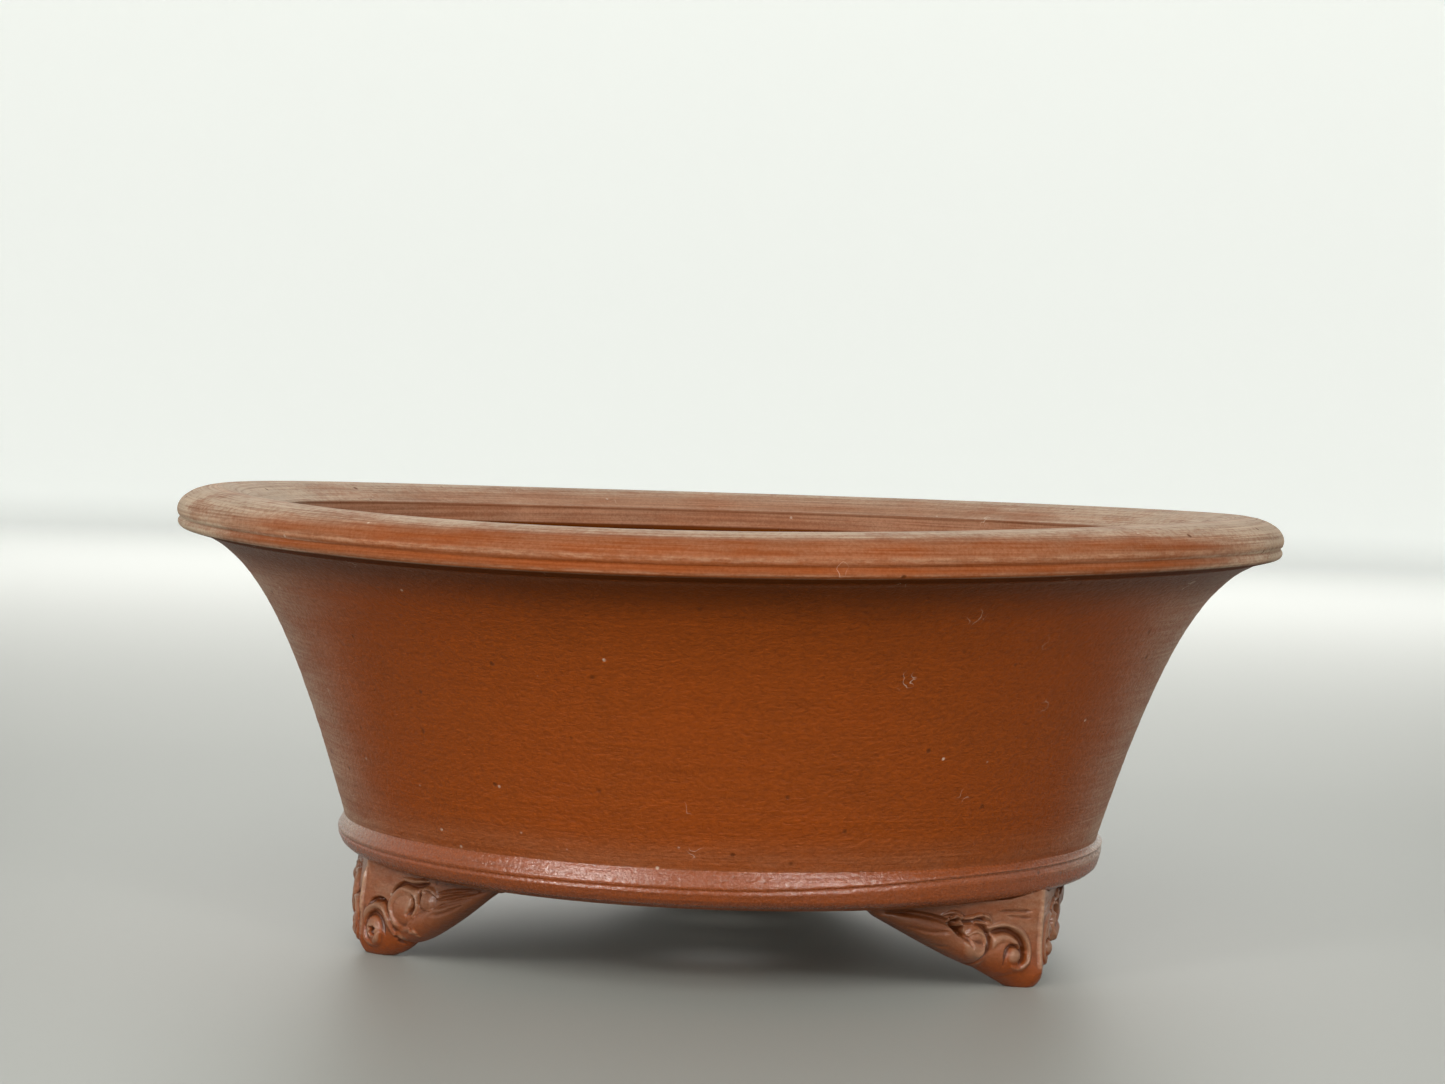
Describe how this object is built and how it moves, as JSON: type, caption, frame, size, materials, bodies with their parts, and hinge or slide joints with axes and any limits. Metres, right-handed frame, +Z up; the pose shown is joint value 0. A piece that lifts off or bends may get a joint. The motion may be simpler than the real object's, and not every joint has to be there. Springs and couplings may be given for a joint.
{
  "type": "bonsai pot",
  "caption": "Round unglazed red-brown clay bonsai pot with a flared wall, rolled everted lip, base band, drained floor and carved cloud-scroll bracket feet.",
  "frame": {"origin": "on the pot's axis, in the plane of the table that the soles of the feet stand on", "axes": "+Z up along the pot's axis; the rear foot points along +Y and +X is to the right as seen from the front"},
  "size_m": [0.15, 0.15, 0.06],
  "materials": {
    "lip_clay": "unglazed fired clay, turned and worn, with a dry dusty bloom",
    "wall_clay": "unglazed fired clay, burnished, with fine turning lines and a soft sheen",
    "band_clay": "unglazed fired clay, turned and burnished",
    "floor_clay": "unglazed fired clay, scraped, matt",
    "foot_clay": "unglazed fired clay, press-moulded and carved, rubbed smooth"
  },
  "bodies": {
    "root": {"rim_lip": "lip_clay", "pot_wall": "wall_clay", "base_band": "band_clay", "floor_slab": "floor_clay", "foot_left": "foot_clay", "foot_right": "foot_clay", "foot_rear": "foot_clay"}
  },
  "joints": []
}
